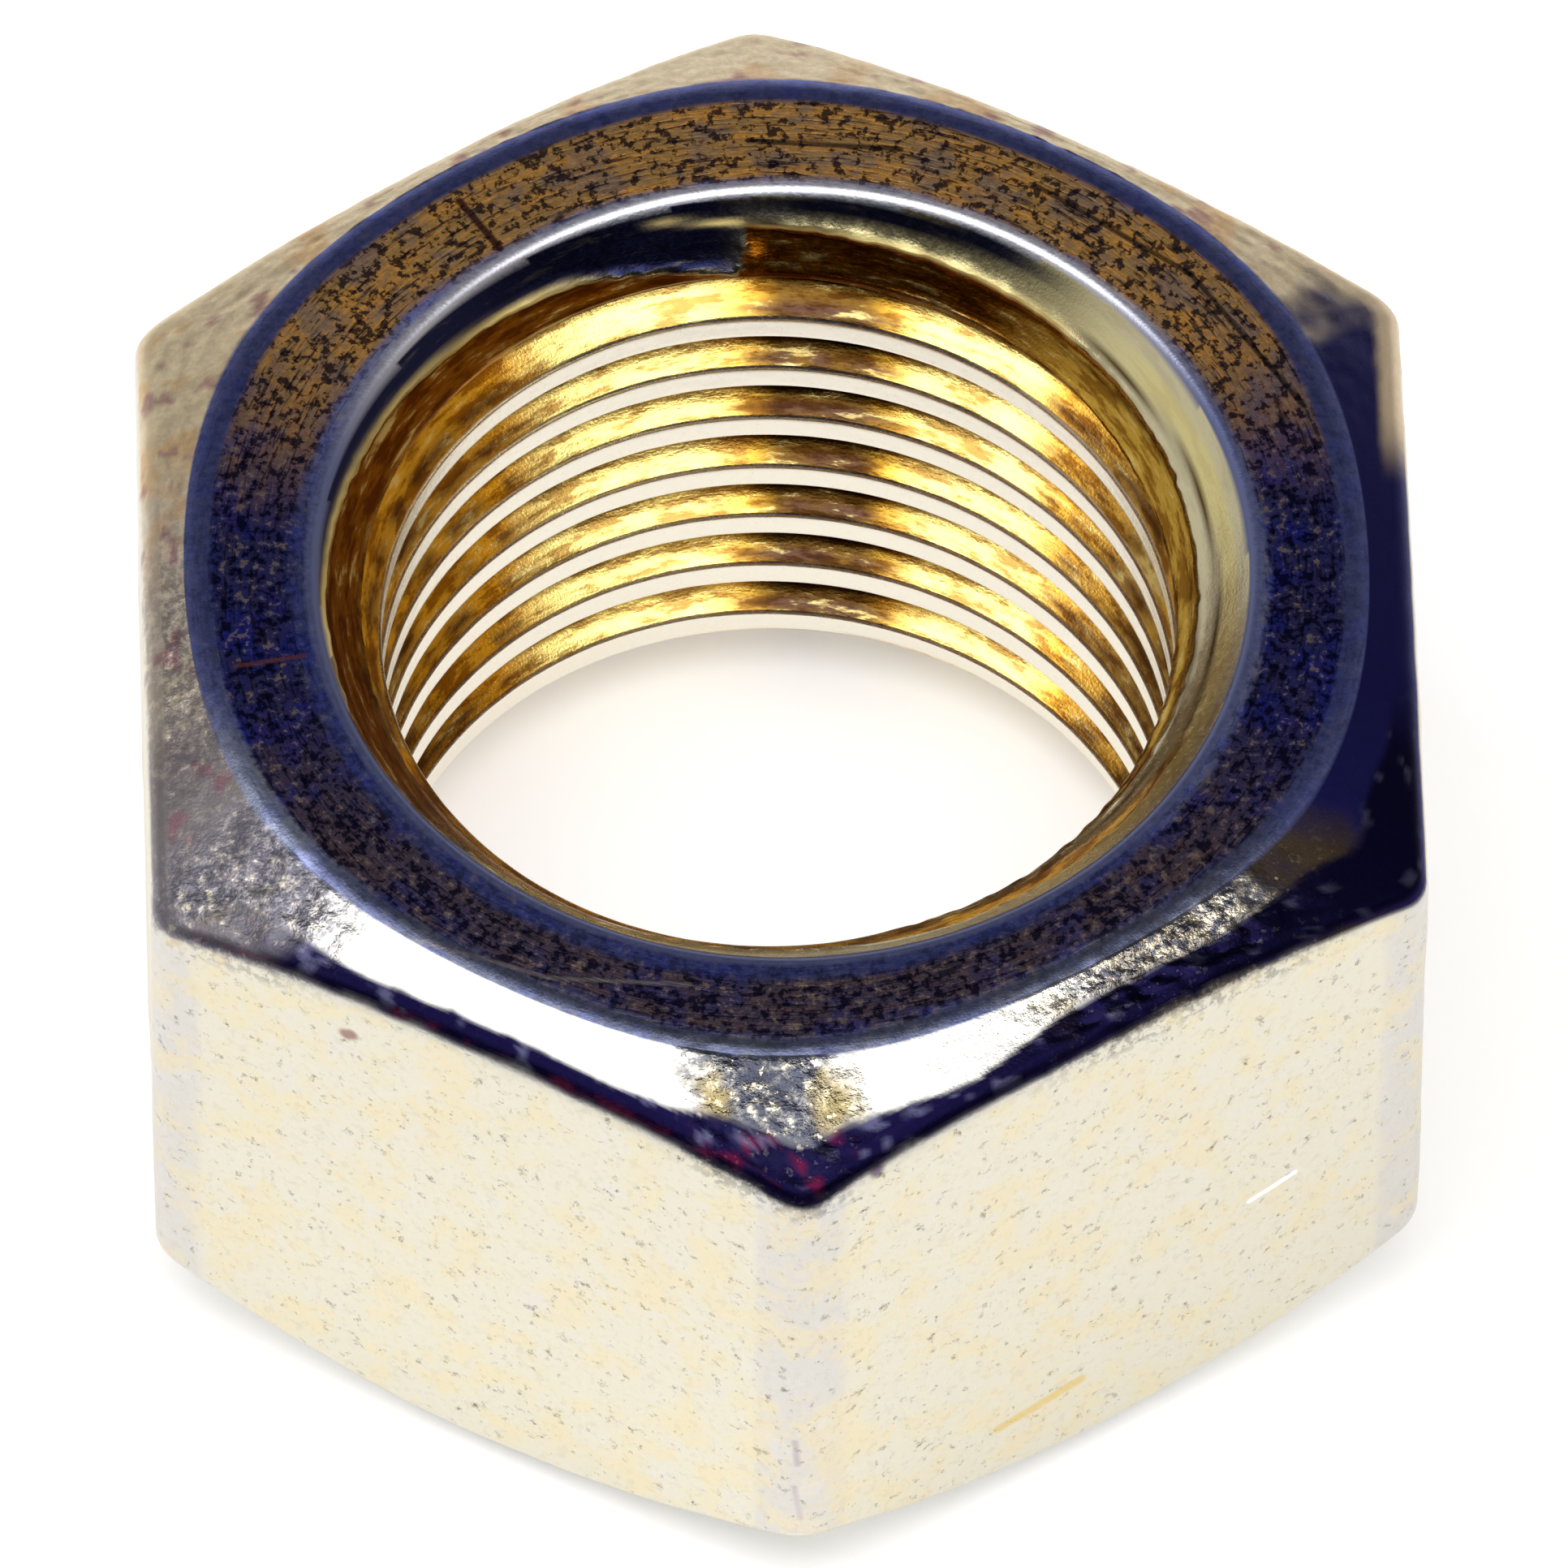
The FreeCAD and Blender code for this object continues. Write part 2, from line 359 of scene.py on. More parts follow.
# chamfers: hammered texture, coarsest at the corners
ch = is_["chamfer"] | is_["shoulder"] | is_["rim"]
rough_ch = np.where(is_["chamfer"], 1.0, np.where(is_["shoulder"], 0.6, np.where(is_["rim"], 0.25, 0)))
# most pitted beside the near corner and on either side of it, smooth between
tw = t + 0.055 * fbm(P * 1.5, 2, 14)
pitted = np.maximum(arc_mask(tw, 260, 274, 3), np.maximum(0.75 * arc_mask(tw, 206, 223, 5), arc_mask(tw, 294, 322, 7)))
pitted = np.clip(np.maximum(pitted, 0.55 * arc_mask(t, 20, 200, 10)), 0.08, 1)
pit_field = fbm(P * 3.4, 3, 11)
z = z - rough_ch * pitted * (0.060 * np.clip(pit_field, -0.3, 1) + 0.030 * fbm(P * 7.0, 2, 12))
chb = np.where(is_["chamfer_base"], 1.0, 0.0)
z = z + chb * (0.3 + 0.7 * corner) * 0.04 * fbm(P * 3.1, 3, 13)
z = np.clip(z, 0.0, HT)
# bore: the tap's faint chatter, and a burr along the edge that the countersink leaves on the thread
b = is_["bore"]
edge = np.exp(-((gap / 0.045) ** 2)) * b * (z > HT / 2)
r = r - edge * (0.016 + 0.020 * vnoise(ring * 5.0, 21))
depth = HT - z
line = run_out(t)
in_sink = b * (1 - smooth(gap, -0.05, 0.02)) * (z > HT / 2)
past = depth - line
r = r - in_sink * bell(past, 0.0, 0.06) * (0.045 + 0.035 * vnoise(ring * 5.0, 23))
r = r + in_sink * 0.05 * smooth(past, 0.0, 0.06) * (1 - smooth(depth, 1.0, 1.15))
r = r + b * 0.004 * fbm(np.stack([np.cos(t) * 16, np.sin(t) * 16, z * 9], 1), 2, 22)
# the broken start of the thread, a small step near the far side
near_step = b * bell(angle_from(t, 91.5), 0, 1.5) * bell(z, HT - 0.78, 0.16)
r = r - near_step * 0.085

co = np.stack([r * np.cos(t), r * np.sin(t), z], 1) * 0.001

# ------------------------------------------------------------------ finish, as attributes on the mesh
deg = np.degrees(t) % 360.0


def mix(base, colour, amount):
    amount = np.clip(amount, 0, 1)[:, None]
    return base * (1 - amount) + np.array(colour)[None, :] * amount


CREAM = (0.715, 0.68, 0.56)
SILVER = (0.62, 0.60, 0.58)
NAVY = (0.035, 0.045, 0.16)
BLUE = (0.10, 0.14, 0.36)
BROWN = (0.26, 0.17, 0.08)
GOLD = (0.90, 0.60, 0.12)
AMBER = (0.55, 0.30, 0.04)
DARK = (0.05, 0.03, 0.015)
BONE = (0.86, 0.82, 0.71)

tint = np.tile(np.array(CREAM), (NV, 1))
rough = np.full(NV, 0.34)
# upright edges, worn paler and greyer
tint = mix(tint, SILVER, flat_like * smooth(corner + 0.03 * fbm(P * 1.2, 2, 52), 0.935, 0.99) * 0.75)
# shoulders and chamfers
top_half = (z > HT / 2).astype(float)
sh_row = np.linspace(0, 1, 12)
down = np.zeros(NV)                         # how far round the shoulder a point is, 0 at the chamfer, 1 at the flat
down[is_["shoulder"]] = np.repeat(sh_row, COLS)
Rcol = hex_radius(t, UPRIGHT)
rim_here = periodic(RIM_AT, t)
from_edge = Rcol - r + 0.06 * fbm(P * 2.6, 3, 44)
ch_top = is_["chamfer"] | is_["shoulder"]
# a dark band along the near shoulders, where the rounding from chamfer to flat faces the dark room on the camera side:
# painted dark reflection, over the plating's navy, purple and red tones
wide = 0.46 + 0.46 * corner + 0.26 * arc_mask(t, 291, 335, 7)
band = ch_top * (1 - smooth(from_edge, wide - 0.09, wide + 0.05))
band = band * (1 - smooth(down + 0.10 * fbm(P * 2.0, 2, 45), 0.36, 0.58)) * arc_mask(tw, 215, 345, 6)
ch_all = is_["chamfer"].astype(float)
open_ch = ch_top * (1 - smooth(down, 0.55, 0.75))
tint = mix(tint, (0.80, 0.78, 0.72), open_ch)
tint = mix(tint, (0.72, 0.60, 0.40), open_ch * arc_mask(t, 24, 172, 8))
tint = mix(tint, (0.50, 0.43, 0.35), open_ch * arc_mask(t, 172, 211, 10))
tint = mix(tint, (0.25, 0.22, 0.22), open_ch * arc_mask(t, 194, 213, 5))
tint = mix(tint, (0.27, 0.25, 0.28), open_ch * arc_mask(tw, 205, 221, 5) * 0.9)
tint = mix(tint, (0.30, 0.25, 0.17), open_ch * arc_mask(tw, 299, 316, 5) * 0.85)
# painted dark reflection: the chamfer from 317 to 342 degrees, near-black brown
tint = mix(tint, (0.050, 0.034, 0.022), open_ch * arc_mask(tw + 0.10 * fbm(P * 1.6, 3, 53), 317, 342, 5))
stain = smooth(fbm(P * 1.5, 3, 61), 0.12, 0.42)
tint = mix(tint, (0.62, 0.34, 0.12), open_ch * arc_mask(t, 30, 175, 8) * stain * 0.5)
tint = mix(tint, (0.30, 0.12, 0.16), ch_top * arc_mask(t, 30, 215, 6) * smooth(fbm(P * 2.9, 2, 62), 0.40, 0.55) * 0.6)
# the right-hand chamfer: painted dark reflection, in the plating's navy
navy_painted_reflection = open_ch * arc_mask(tw + 0.10 * fbm(P * 1.6, 3, 53), -31, 31, 5)
tint = mix(tint, (0.012, 0.012, 0.085), navy_painted_reflection)
tint = mix(tint, (0.62, 0.50, 0.34), ch_top * arc_mask(t, 14, 34, 4) * (1 - smooth(from_edge, 0.30, 0.50)))
# the near corner's pitted patch, near black: the pitting's own colour with a painted dark reflection of the camera
# side
tint = mix(tint, (0.035, 0.034, 0.050), open_ch * arc_mask(tw, 260, 274, 3) * (0.80 + 0.20 * smooth(pit_field, -0.15, 0.25)))
# painted dark reflection on the shoulder band: near black, navy lower down, with red-purple and grey specks of the
# plating
tint = mix(tint, (0.004, 0.003, 0.020), band * (1 - 0.0 * down))
tint = mix(tint, (0.030, 0.018, 0.120), band * smooth(down, 0.30, 0.50))
tint = mix(tint, (0.34, 0.03, 0.10), band * (x < -0.5) * smooth(down, 0.22, 0.45) * smooth(fbm(P * 2.6, 3, 41), -0.10, 0.3) * 0.6)
tint = mix(tint, (0.10, 0.003, 0.020), band * arc_mask(t, 263, 273, 3) * smooth(fbm(P * 4.3, 2, 46), 0.10, 0.30) * 0.6)
tint = mix(tint, (0.07, 0.07, 0.13), band * smooth(fbm(P * 4.5, 2, 49), 0.30, 0.50) * 0.6)
# faces
face = (is_["face"] | is_["face_base"]).astype(float)
far = arc_mask(t, 22, 158, 16)
side = np.maximum(arc_mask(t, 158, 204, 12), arc_mask(t, -30, 22, 12))
tint = mix(tint, (0.085, 0.065, 0.10), face)
tint = mix(tint, (0.030, 0.032, 0.14), face * side)
tint = mix(tint, (0.60, 0.34, 0.10), face * far * 0.9)
rim = (is_["rim"] | is_["rim_base"]).astype(float)
to_rim = smooth(r + 0.10 * fbm(P * 2.2, 3, 47), rim_here - 0.46, rim_here - 0.12) * top_half + smooth(r, RIM_BASE - 0.6, RIM_BASE - 0.2) * (1 - top_half)
tint = mix(tint, (0.050, 0.075, 0.30), np.clip(rim + face * to_rim, 0, 1) * 0.92)
tint = mix(tint, (0.30, 0.34, 0.48), np.clip(rim + face * smooth(r, rim_here - 0.20, rim_here - 0.08), 0, 1) * arc_mask(t, 196, 220, 10) * top_half)
# near side: a lighter rim and a lighter line just inside it, painted highlight leading into the softbox's reflection
tint = mix(tint, (0.12, 0.135, 0.21), rim * arc_mask(t, 218, 325, 6) * top_half)
tint = mix(tint, (0.30, 0.33, 0.46), face * smooth(r, rim_here - 0.34, rim_here - 0.24) * arc_mask(t, 214, 325, 8) * top_half * 0.75)
inner = 1 - smooth(r + 0.05 * fbm(P * 2.4, 2, 48), SINK_R + 0.20, SINK_R + 0.36)
tint = mix(tint, (0.060, 0.075, 0.24), face * inner)
tint = mix(tint, (0.26, 0.29, 0.50), face * inner * np.maximum(far, 0.5 * arc_mask(t, -40, 30, 12)))
lip = (is_["lip"] | is_["lip_base"]).astype(float)
tint = mix(tint, (0.62, 0.62, 0.68), lip)
tint = mix(tint, (0.10, 0.13, 0.34), lip * top_half * (1 - arc_mask(t, 35, 150, 15)) * 0.85)
# bore: gold flanks with a painted highlight in two columns, painted shade as a dark patch between them, and painted
# shade as darker, browner amber beyond them
tint = mix(tint, (0.85, 0.47, 0.045), b.astype(float))
# painted shade: darker amber away from the highlight columns
tint = mix(tint, (0.78, 0.36, 0.02), b * arc_mask(t, 118, 250, 8))
tint = mix(tint, (0.62, 0.33, 0.05), b * arc_mask(t, -60, 44, 6))
# the two columns of painted highlight on the flanks
painted_highlight_cols = np.maximum(arc_mask(t, 95, 126, 6), arc_mask(t, 47, 70, 4))
tint = mix(tint, (1.0, 0.80, 0.26), b * painted_highlight_cols)
# painted shade: a dark patch between the two highlight columns
tint = mix(tint, (0.085, 0.042, 0.010), b * arc_mask(t, 73, 91, 4) * 0.95)
d = groove_offset(t, z)
ad = np.abs(d)
free = smooth(gap, -0.02, 0.05)
land = b * smooth(ad, 0.388, 0.412) * free
# painted shade: a brown line under each land and a dark one just over it, both fainter in the painted highlight
# columns
tint = mix(tint, (0.14, 0.045, 0.004), b * bell(d, 0.345, 0.06) * free * (0.85 - 0.5 * painted_highlight_cols))
tint = mix(tint, (0.06, 0.03, 0.03), b * bell(d, -0.335, 0.05) * free * (0.8 - 0.6 * painted_highlight_cols) * smooth(fbm(ring * 1.4, 2, 71), -0.5, 0.1))
tint = mix(tint, BONE, land)
# countersink: the struck cone above the run-out line, the tapped band below it
sink = in_sink
upper = sink * (1 - smooth(past, -0.03, 0.01))
lower = sink * smooth(past, 0.0, 0.05)
tint = mix(tint, (0.66, 0.58, 0.30), sink)
tint = mix(tint, (0.24, 0.075, 0.004), lower)
tint = mix(tint, (0.66, 0.40, 0.06), lower * arc_mask(t, -75, 48, 14))
tint = mix(tint, (0.85, 0.78, 0.52), upper * arc_mask(t, -60, 44, 10))
tint = mix(tint, (0.10, 0.05, 0.01), sink * arc_mask(t, -60, 50, 10) * (bell(depth, 0.54, 0.035) + 0.8 * bell(depth, 0.80, 0.035)))
# the struck cone's left and far walls, navy black: painted dark reflection of the camera side
tint = mix(tint, (0.020, 0.022, 0.065), upper * arc_mask(t, 90, 205, 7))
tint = mix(tint, (0.03, 0.03, 0.07), upper * arc_mask(t, 52, 92, 8) * (1 - smooth(depth, 0.26, 0.34)) * smooth(depth, 0.08, 0.12))
tint = mix(tint, (1.0, 0.88, 0.42), sink * arc_mask(t, -60, 40, 12) * smooth(depth, 0.22, 0.29) * (1 - smooth(depth, 0.46, 0.52)))
# bright lines along the run-out line and along the groove's upper edge: painted highlight where these edges catch the
# light; the run-out line also has a burr in the mesh
line1 = sink * bell(past, -0.01, 0.042) * arc_mask(t, 116, 215, 7)
second = np.interp(deg, [0, 5, 71, 90, 102, 110], [0.79, 0.77, 0.50, 0.40, 0.25, 0.15])
line2 = sink * bell(depth, second, 0.036) * arc_mask(t, 46, 104, 3)
tint = mix(tint, (1.0, 0.80, 0.32), np.clip(line1 + line2, 0, 1))
sink_b = b * (1 - smooth(gap, -0.04, 0.03)) * (z < HT / 2)
tint = mix(tint, (0.60, 0.50, 0.22), sink_b)
rough[b] = 0.24
rough[is_["face"]] = 0.38
rough[is_["chamfer"]] = 0.20
rough[is_["rim"]] = 0.30
ridge_and_highlight_lines = np.clip(line1 + line2, 0, 1)
rough = rough + (0.62 - rough) * np.clip(ridge_and_highlight_lines + 0.6 * lower * arc_mask(t, 95, 215, 6), 0, 1)
rough = rough + (0.42 - rough) * open_ch * (1 - np.maximum(arc_mask(t, 218, 266, 4), arc_mask(t, 268, 320, 4)))

mask = np.zeros((NV, 4), np.float32)        # face, pitted chamfer, flats, bore
mask[:, 0] = np.clip(face * (1 - 0.55 * np.clip(to_rim + inner, 0, 1)) + 0.25 * rim, 0, 1)
mask[:, 1] = np.clip((ch_all + 0.5 * is_["shoulder"]) * pitted * (1 - 0.96 * band) * (1 - 0.75 * arc_mask(t, 24, 176, 8)) * (1 - arc_mask(t, -32, 32, 5)) + 0.3 * is_["chamfer_base"], 0, 1)
mask[:, 2] = flat_like * np.where(is_["shoulder"], smooth(down, 0.6, 0.8), 1.0) * (1 - band)
mask[:, 3] = b * (1 - land) * (1 - 0.85 * upper) * (1 - 0.8 * np.clip(line1 + line2, 0, 1))

me = bpy.data.meshes.new("hex_nut_plated")
nq, nt_ = len(quads), len(tris)
me.vertices.add(NV)
me.vertices.foreach_set("co", co.astype(np.float32).ravel())
loops = np.concatenate([quads.ravel(), tris.ravel()]).astype(np.int32)
me.loops.add(len(loops))
me.loops.foreach_set("vertex_index", loops)
me.polygons.add(nq + nt_)
starts = np.concatenate([np.arange(nq) * 4, nq * 4 + np.arange(nt_) * 3]).astype(np.int32)
me.polygons.foreach_set("loop_start", starts)
me.update(calc_edges=True)
me.validate()
me.polygons.foreach_set("use_smooth", np.ones(len(me.polygons), bool))

a = me.attributes.new("tint", "FLOAT_COLOR", "POINT")
a.data.foreach_set("color", np.c_[tint, np.ones(NV)].astype(np.float32).ravel())
a = me.attributes.new("zones", "FLOAT_COLOR", "POINT")
a.data.foreach_set("color", mask.ravel())
a = me.attributes.new("rough", "FLOAT", "POINT")
a.data.foreach_set("value", rough.astype(np.float32))

nut = bpy.data.objects.new("hex_nut_plated", me)
bpy.context.scene.collection.objects.link(nut)


# ------------------------------------------------------------------ material
class Nodes:
    def __init__(self, tree):
        self.t = tree

    def new(self, kind, **values):
        n = self.t.nodes.new(kind)
        for k, v in values.items():
            setattr(n, k, v)
        return n

    def put(self, socket, value):
        if isinstance(value, bpy.types.NodeSocket):
            self.t.links.new(value, socket)
        elif isinstance(value, (tuple, list)) and len(value) == 3 and socket.type == "RGBA":
            socket.default_value = (*value, 1.0)
        else:
            socket.default_value = value

    def math(self, op, a, b=0.0, c=None, clamp=False):
        n = self.new("ShaderNodeMath", operation=op, use_clamp=clamp)
        self.put(n.inputs[0], a)
        self.put(n.inputs[1], b)
        if c is not None:
            self.put(n.inputs[2], c)
        return n.outputs[0]

    def noise(self, vector, scale, detail=3.0, rough=0.55, dist=0.0):
        n = self.new("ShaderNodeTexNoise")
        self.put(n.inputs["Vector"], vector)
        n.inputs["Scale"].default_value = scale
        n.inputs["Detail"].default_value = detail
        n.inputs["Roughness"].default_value = rough
        n.inputs["Distortion"].default_value = dist
        return n.outputs[0]

    def ramp(self, value, lo, hi, a=0.0, b=1.0, smooth=True):
        n = self.new("ShaderNodeMapRange")
        n.interpolation_type = "SMOOTHSTEP" if smooth else "LINEAR"
        self.put(n.inputs[0], value)
        n.inputs[1].default_value = lo
        n.inputs[2].default_value = hi
        n.inputs[3].default_value = a
        n.inputs[4].default_value = b
        return n.outputs[0]

    def mix(self, factor, a, b, blend="MIX"):
        n = self.new("ShaderNodeMix", data_type="RGBA", blend_type=blend)
        self.put(n.inputs[0], factor)
        self.put(n.inputs[6], a)
        self.put(n.inputs[7], b)
        return n.outputs[2]

    def stroke(self, start, end, half, soft):
        """1 within half a width of the line from start to end, 0 past the soft edge."""
        start, along = Vector(start), Vector(end) - Vector(start)
        off = self.new("ShaderNodeVectorMath", operation="SUBTRACT")
        self.put(off.inputs[0], mm)
        off.inputs[1].default_value = start
        dot = self.new("ShaderNodeVectorMath", operation="DOT_PRODUCT")
        self.put(dot.inputs[0], off.outputs[0])
        dot.inputs[1].default_value = along
        h = self.math("MULTIPLY", dot.outputs["Value"], 1.0 / max(along.length_squared, 1e-6), clamp=True)
        foot = self.new("ShaderNodeVectorMath", operation="SCALE")
        foot.inputs[0].default_value = along
        self.put(foot.inputs["Scale"], h)
        gap_ = self.new("ShaderNodeVectorMath", operation="DISTANCE")
        self.put(gap_.inputs[0], off.outputs[0])
        self.put(gap_.inputs[1], foot.outputs[0])
        return self.ramp(gap_.outputs["Value"], half, half + soft, 1.0, 0.0)

    def vec(self, a, b, c):
        n = self.new("ShaderNodeCombineXYZ")
        for s, v in zip(n.inputs, (a, b, c)):
            self.put(s, v)
        return n.outputs[0]


# the plating's colours, together with the painted highlights, shade and dark reflections carried in the tint attribute
mat = bpy.data.materials.new("yellow_zinc_plating_and_painted_light")
mat.use_nodes = True
N = Nodes(mat.node_tree)
mat.node_tree.nodes.clear()
out = N.new("ShaderNodeOutputMaterial")
bsdf = N.new("ShaderNodeBsdfPrincipled")
mat.node_tree.links.new(bsdf.outputs[0], out.inputs[0])
bsdf.inputs["Metallic"].default_value = 1.0

coord = N.new("ShaderNodeTexCoord").outputs["Object"]
mm = N.new("ShaderNodeVectorMath", operation="SCALE")
N.put(mm.inputs[0], coord)
mm.inputs["Scale"].default_value = 1000.0
mm = mm.outputs[0]
sep = N.new("ShaderNodeSeparateXYZ")
N.put(sep.inputs[0], mm)
X, Y, Z = sep.outputs
rad = N.math("SQRT", N.math("ADD", N.math("MULTIPLY", X, X), N.math("MULTIPLY", Y, Y)))
ux, uy = N.math("DIVIDE", X, rad), N.math("DIVIDE", Y, rad)

tint_n = N.new("ShaderNodeAttribute", attribute_name="tint").outputs["Color"]
rough_n = N.new("ShaderNodeAttribute", attribute_name="rough").outputs["Fac"]
zones_node = N.new("ShaderNodeAttribute", attribute_name="zones")
zs = N.new("ShaderNodeSeparateColor")
N.put(zs.inputs[0], zones_node.outputs["Color"])
m_face, m_pit, m_flat = zs.outputs[0], zs.outputs[1], zs.outputs[2]
m_bore = zones_node.outputs["Alpha"]

# turning marks on the faces: noise drawn out round the axis
polar = N.vec(N.math("MULTIPLY", ux, 3.0), N.math("MULTIPLY", uy, 3.0), N.math("MULTIPLY", rad, 3.6))
streak = N.noise(polar, 1.6, 5.0, 0.62)
streak_fine = N.noise(polar, 4.4, 3.0, 0.6)
cloud = N.noise(mm, 0.55, 3.0, 0.5)
speck = N.noise(mm, 9.0, 3.0, 0.6)
fine = N.noise(mm, 22.0, 2.0, 0.6)
grain = N.noise(mm, 6.5, 3.0, 0.65)

col = tint_n
# faces: warm and cold patches, black grain drawn out along the turning, pale grain between
f_warm = N.math("MULTIPLY", m_face, N.ramp(streak, 0.44, 0.60, 0.0, 0.75))
col = N.mix(f_warm, col, N.mix(1.0, col, (1.55, 1.30, 0.80), "MULTIPLY"))
f_cold = N.math("MULTIPLY", m_face, N.ramp(N.noise(mm, 1.3, 4.0, 0.6), 0.49, 0.60, 0.0, 0.6))
col = N.mix(f_cold, col, N.mix(1.0, col, (0.45, 0.62, 1.8), "MULTIPLY"))
f_dark = N.math("MULTIPLY", m_face, N.ramp(streak_fine, 0.37, 0.46, 0.80, 0.0))
col = N.mix(f_dark, col, (0.010, 0.008, 0.020))
f_grain = N.math("MULTIPLY", m_face, N.ramp(grain, 0.40, 0.50, 0.88, 0.0))
col = N.mix(f_grain, col, (0.002, 0.002, 0.016))
f_speck = N.math("MULTIPLY", m_face, N.ramp(grain, 0.57, 0.66, 0.0, 0.75))
col = N.mix(f_speck, col, N.mix(0.30, (0.36, 0.27, 0.19), col))
# pitted chamfer: dark hollows with bright worn points between
p_dark = N.math("MULTIPLY", m_pit, N.ramp(grain, 0.44, 0.56, 0.92, 0.0))
col = N.mix(p_dark, col, (0.055, 0.060, 0.085))
p_lit = N.math("MULTIPLY", m_pit, N.ramp(grain, 0.58, 0.66, 0.0, 0.85))
col = N.mix(p_lit, col, (0.80, 0.74, 0.55))
p_gold = N.math("MULTIPLY", m_pit, N.ramp(cloud, 0.54, 0.64, 0.0, 0.4))
col = N.mix(p_gold, col, (0.55, 0.42, 0.12))
# flats: pale straw clouds, a warm grain and small brown pits
c_straw = N.math("MULTIPLY", m_flat, N.ramp(N.noise(mm, 1.1, 5.0, 0.65), 0.46, 0.62, 0.0, 0.62))
col = N.mix(c_straw, col, (0.76, 0.66, 0.42))
c_grey = N.math("MULTIPLY", m_flat, N.ramp(N.noise(mm, 1.7, 5.0, 0.68), 0.52, 0.70, 0.0, 0.45))
col = N.mix(c_grey, col, (0.70, 0.68, 0.66))
c_fine = N.math("MULTIPLY", m_flat, N.ramp(grain, 0.36, 0.46, 0.22, 0.0))
col = N.mix(c_fine, col, (0.55, 0.47, 0.32))
pits = N.noise(mm, 4.6, 4.0, 0.75)
c_pit = N.math("MULTIPLY", m_flat, N.ramp(pits, 0.675, 0.72, 0.0, 0.85))
col = N.mix(c_pit, col, (0.20, 0.12, 0.05))
# single marks: nicks and scratches on the ring, scratches and stains on the front flats
for start, end, half, soft, colour, amount in (
    ((-3.94, 6.07, HT), (-4.52, 6.96, HT), 0.03, 0.06, (0.035, 0.006, 0.012), 0.9),
    ((-7.02, -1.22, HT), (-8.05, -1.38, HT), 0.01, 0.05, (0.17, 0.055, 0.045), 0.8),
    ((-5.66, -6.29, HT), (-3.61, -7.08, HT), 0.01, 0.05, (0.22, 0.19, 0.19), 0.75),
    ((-3.61, -7.08, HT), (-1.54, -7.27, HT), 0.01, 0.05, (0.22, 0.19, 0.19), 0.75),
    ((7.87, 2.86, HT), (6.30, 5.29, HT), 0.02, 0.05, (0.006, 0.006, 0.010), 0.8),
    ((6.30, 5.29, HT), (4.04, 7.00, HT), 0.02, 0.05, (0.006, 0.006, 0.010), 0.8),
    ((2.07, 7.71, HT), (-0.14, 7.93, HT), 0.02, 0.05, (0.008, 0.006, 0.008), 0.8),
    ((6.78, -6.94, 4.37), (7.45, -6.55, 4.52), 0.03, 0.05, (0.97, 0.97, 0.98), 0.95),
    ((3.00, -9.12, 1.76), (4.23, -8.41, 1.94), 0.04, 0.12, (0.72, 0.50, 0.10), 0.65),
    ((-6.58, -7.06, 9.50), (-6.50, -7.10, 9.56), 0.05, 0.12, (0.22, 0.07, 0.06), 0.75),
    ((1.12, -10.21, 10.18), (1.20, -10.17, 10.32), 0.06, 0.12, (0.10, 0.045, 0.13), 0.8),
    ((-0.08, -10.72, 3.96), (-0.04, -10.72, 3.35), 0.01, 0.08, (0.30, 0.22, 0.32), 0.5),
    ((-0.09, -10.72, 2.77), (0.01, -10.72, 1.94), 0.01, 0.08, (0.30, 0.22, 0.32), 0.5),
):
    col = N.mix(N.math("MULTIPLY", N.stroke(start, end, half, soft), amount), col, colour)
# bore: streaks along the cut, which climb with the thread: darker amber streaks, and bright gold ones that are painted
# glints
turn = N.math("ARCTAN2", N.math("MULTIPLY", X, -1.0), Y)
climb = N.math("SUBTRACT", Z, N.math("MULTIPLY", turn, PITCH / (2 * math.pi)))
tz = N.vec(N.math("MULTIPLY", ux, 6.0), N.math("MULTIPLY", uy, 6.0), N.math("MULTIPLY", climb, 8.0))
cut = N.noise(tz, 1.2, 4.0, 0.65)
b_amber = N.math("MULTIPLY", m_bore, N.ramp(cut, 0.40, 0.54, 0.80, 0.0))
col = N.mix(b_amber, col, (0.34, 0.20, 0.10), "MULTIPLY")
# painted glints along the cut streaks
b_lit = N.math("MULTIPLY", m_bore, N.ramp(cut, 0.56, 0.68, 0.0, 0.45))
col = N.mix(b_lit, col, (1.0, 0.80, 0.30))
N.put(bsdf.inputs["Base Color"], col)

r_val = N.math("ADD", rough_n, N.math("MULTIPLY", N.math("SUBTRACT", speck, 0.5), 0.25))
N.put(bsdf.inputs["Roughness"], N.math("MAXIMUM", r_val, 0.12))

height = N.math("ADD", N.math("MULTIPLY", N.math("MULTIPLY", streak_fine, m_face), 0.010),
                N.math("MULTIPLY", N.math("MULTIPLY", speck, m_pit), 0.030))
height = N.math("ADD", height, N.math("MULTIPLY", N.math("MULTIPLY", N.ramp(pits, 0.60, 0.74), m_flat), -0.030))
height = N.math("ADD", height, N.math("MULTIPLY", fine, 0.003))
height = N.math("ADD", height, N.math("MULTIPLY", N.math("MULTIPLY", cut, m_bore), 0.010))
bump = N.new("ShaderNodeBump")
bump.inputs["Strength"].default_value = 1.0
bump.inputs["Distance"].default_value = 0.001
N.put(bump.inputs["Height"], height)
N.put(bsdf.inputs["Normal"], bump.outputs[0])

me.materials.append(mat)
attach(nut, "root")
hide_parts("hex_nut")

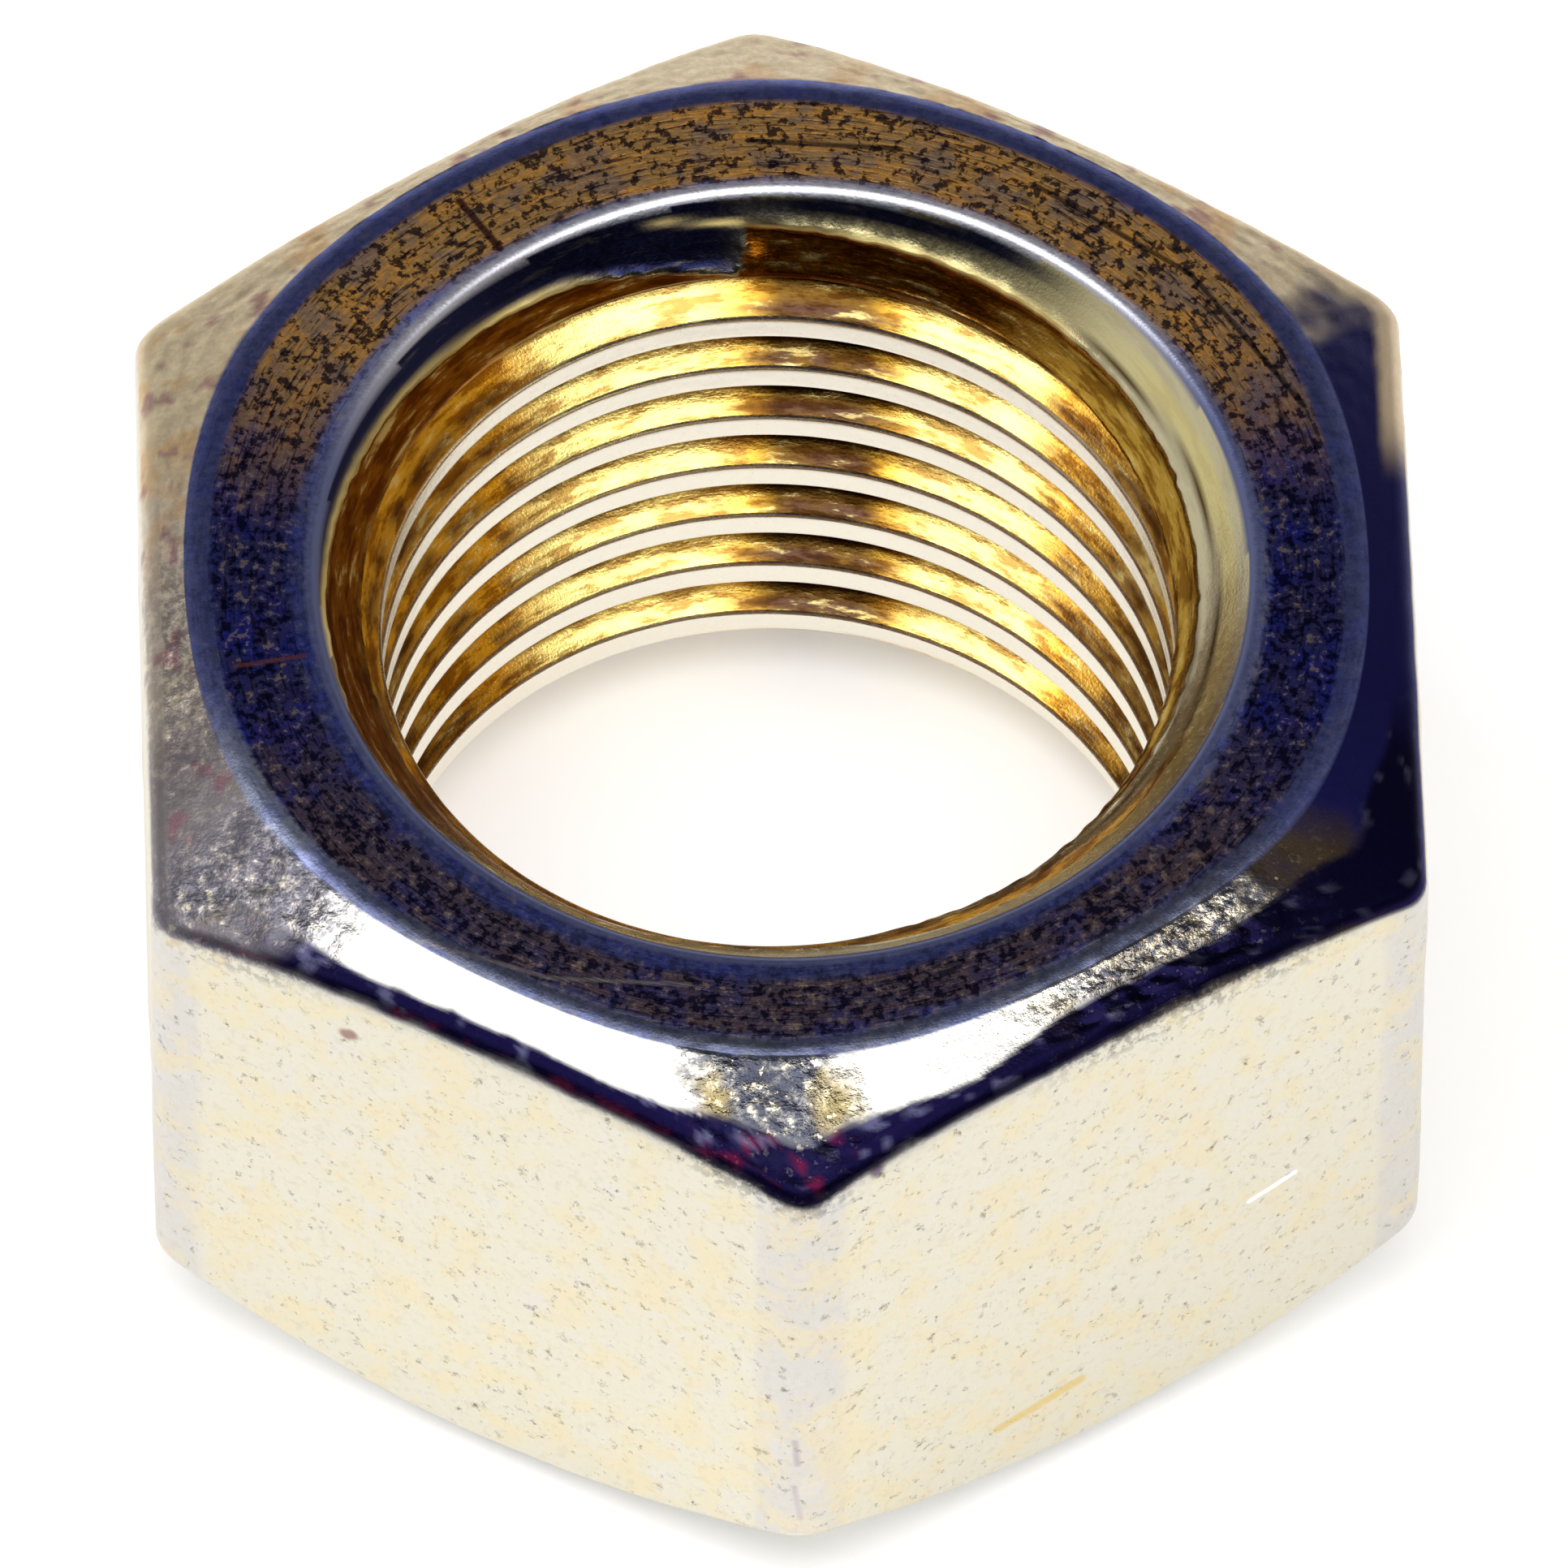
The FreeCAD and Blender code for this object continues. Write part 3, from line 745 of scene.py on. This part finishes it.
# ------------------------------------------------------------------ floor
fm = bpy.data.meshes.new("floor")
S = 1.5
fm.from_pydata([(-S, -S, 0), (S, -S, 0), (S, S, 0), (-S, S, 0)], [], [(0, 1, 2, 3)])
floor = bpy.data.objects.new("floor", fm)
floor.location.z = -0.00002
bpy.context.scene.collection.objects.link(floor)
fmat = bpy.data.materials.new("pale_floor")
fmat.use_nodes = True
fb = fmat.node_tree.nodes["Principled BSDF"]
fb.inputs["Base Color"].default_value = (0.90, 0.90, 0.90, 1)
fb.inputs["Roughness"].default_value = 0.9
fb.inputs["Emission Color"].default_value = (1, 1, 1, 1)
fb.inputs["Emission Strength"].default_value = 0.40
fm.materials.append(fmat)


# ------------------------------------------------------------------ lights
def area(name, direction, distance, sx, sy, power, colour=(1, 1, 1)):
    d = Vector(direction).normalized()
    light = bpy.data.lights.new(name, "AREA")
    light.shape = "RECTANGLE"
    light.size, light.size_y = sx, sy
    light.energy = power
    light.color = colour
    o = bpy.data.objects.new(name, light)
    o.location = d * distance
    o.rotation_euler = d.to_track_quat("Z", "Y").to_euler()
    bpy.context.scene.collection.objects.link(o)
    return o


area("overhead_softbox", (-0.065, -0.21, 1.0), 0.40, 0.54, 0.28, 1.50)

world = bpy.data.worlds.new("studio")
bpy.context.scene.world = world
world.use_nodes = True
W = Nodes(world.node_tree)
world.node_tree.nodes.clear()
wo = W.new("ShaderNodeOutputWorld")
bg = W.new("ShaderNodeBackground")
world.node_tree.links.new(bg.outputs[0], wo.inputs[0])
wd = W.new("ShaderNodeTexCoord").outputs["Generated"]
ws = W.new("ShaderNodeSeparateXYZ")
W.put(ws.inputs[0], wd)
wx, wy, wz = ws.outputs
sky = W.mix(W.ramp(wz, 0.08, 0.50), (0.95, 0.93, 0.90), (0.16, 0.155, 0.17))
sky = W.mix(W.math("MULTIPLY", W.ramp(wx, -0.25, -0.75), W.ramp(wz, 0.98, 0.6)), sky, (0.55, 0.54, 0.52))
sky = W.mix(W.math("MULTIPLY", W.ramp(wx, 0.30, 0.62), W.ramp(wy, -0.9, 0.0)), sky, (0.42, 0.39, 0.36))
sky = W.mix(W.ramp(wy, -0.30, -0.60), sky, (0.03, 0.03, 0.04))
W.put(bg.inputs[0], sky)
bg.inputs[1].default_value = 1.0

# ------------------------------------------------------------------ camera
az, el, roll = -0.0395, 0.9638, 0.0080
dist = 57.5877 * 9.4 * 0.001
centre = Vector((0, 0, HT * 0.0005))
ca, sa, ce, se = math.cos(az), math.sin(az), math.cos(el), math.sin(el)
direction = Vector((ca * 0 - sa * -ce, sa * 0 + ca * -ce, se))
right = Vector((ca, sa, 0))
fwd = -direction
up = right.cross(fwd)
cr_, sr_ = math.cos(roll), math.sin(roll)
r2 = right * cr_ + up * sr_
u2 = -right * sr_ + up * cr_
cam_data = bpy.data.cameras.new("camera")
cam_data.sensor_width = 36.0
cam_data.sensor_fit = "HORIZONTAL"
cam_data.lens = 44826.6 / 1932.0 * 36.0
cam_data.shift_x = 8.597 / 1932.0
cam_data.shift_y = 2.883 / 1932.0
cam_data.clip_start, cam_data.clip_end = 0.01, 20.0
cam = bpy.data.objects.new("camera", cam_data)
m = Matrix((
    (r2.x, u2.x, direction.x, 0),
    (r2.y, u2.y, direction.y, 0),
    (r2.z, u2.z, direction.z, 0),
    (0, 0, 0, 1),
))
m.translation = centre + direction * dist
cam.matrix_world = m
bpy.context.scene.collection.objects.link(cam)
bpy.context.scene.camera = cam
bpy.context.scene.view_settings.view_transform = "Standard"
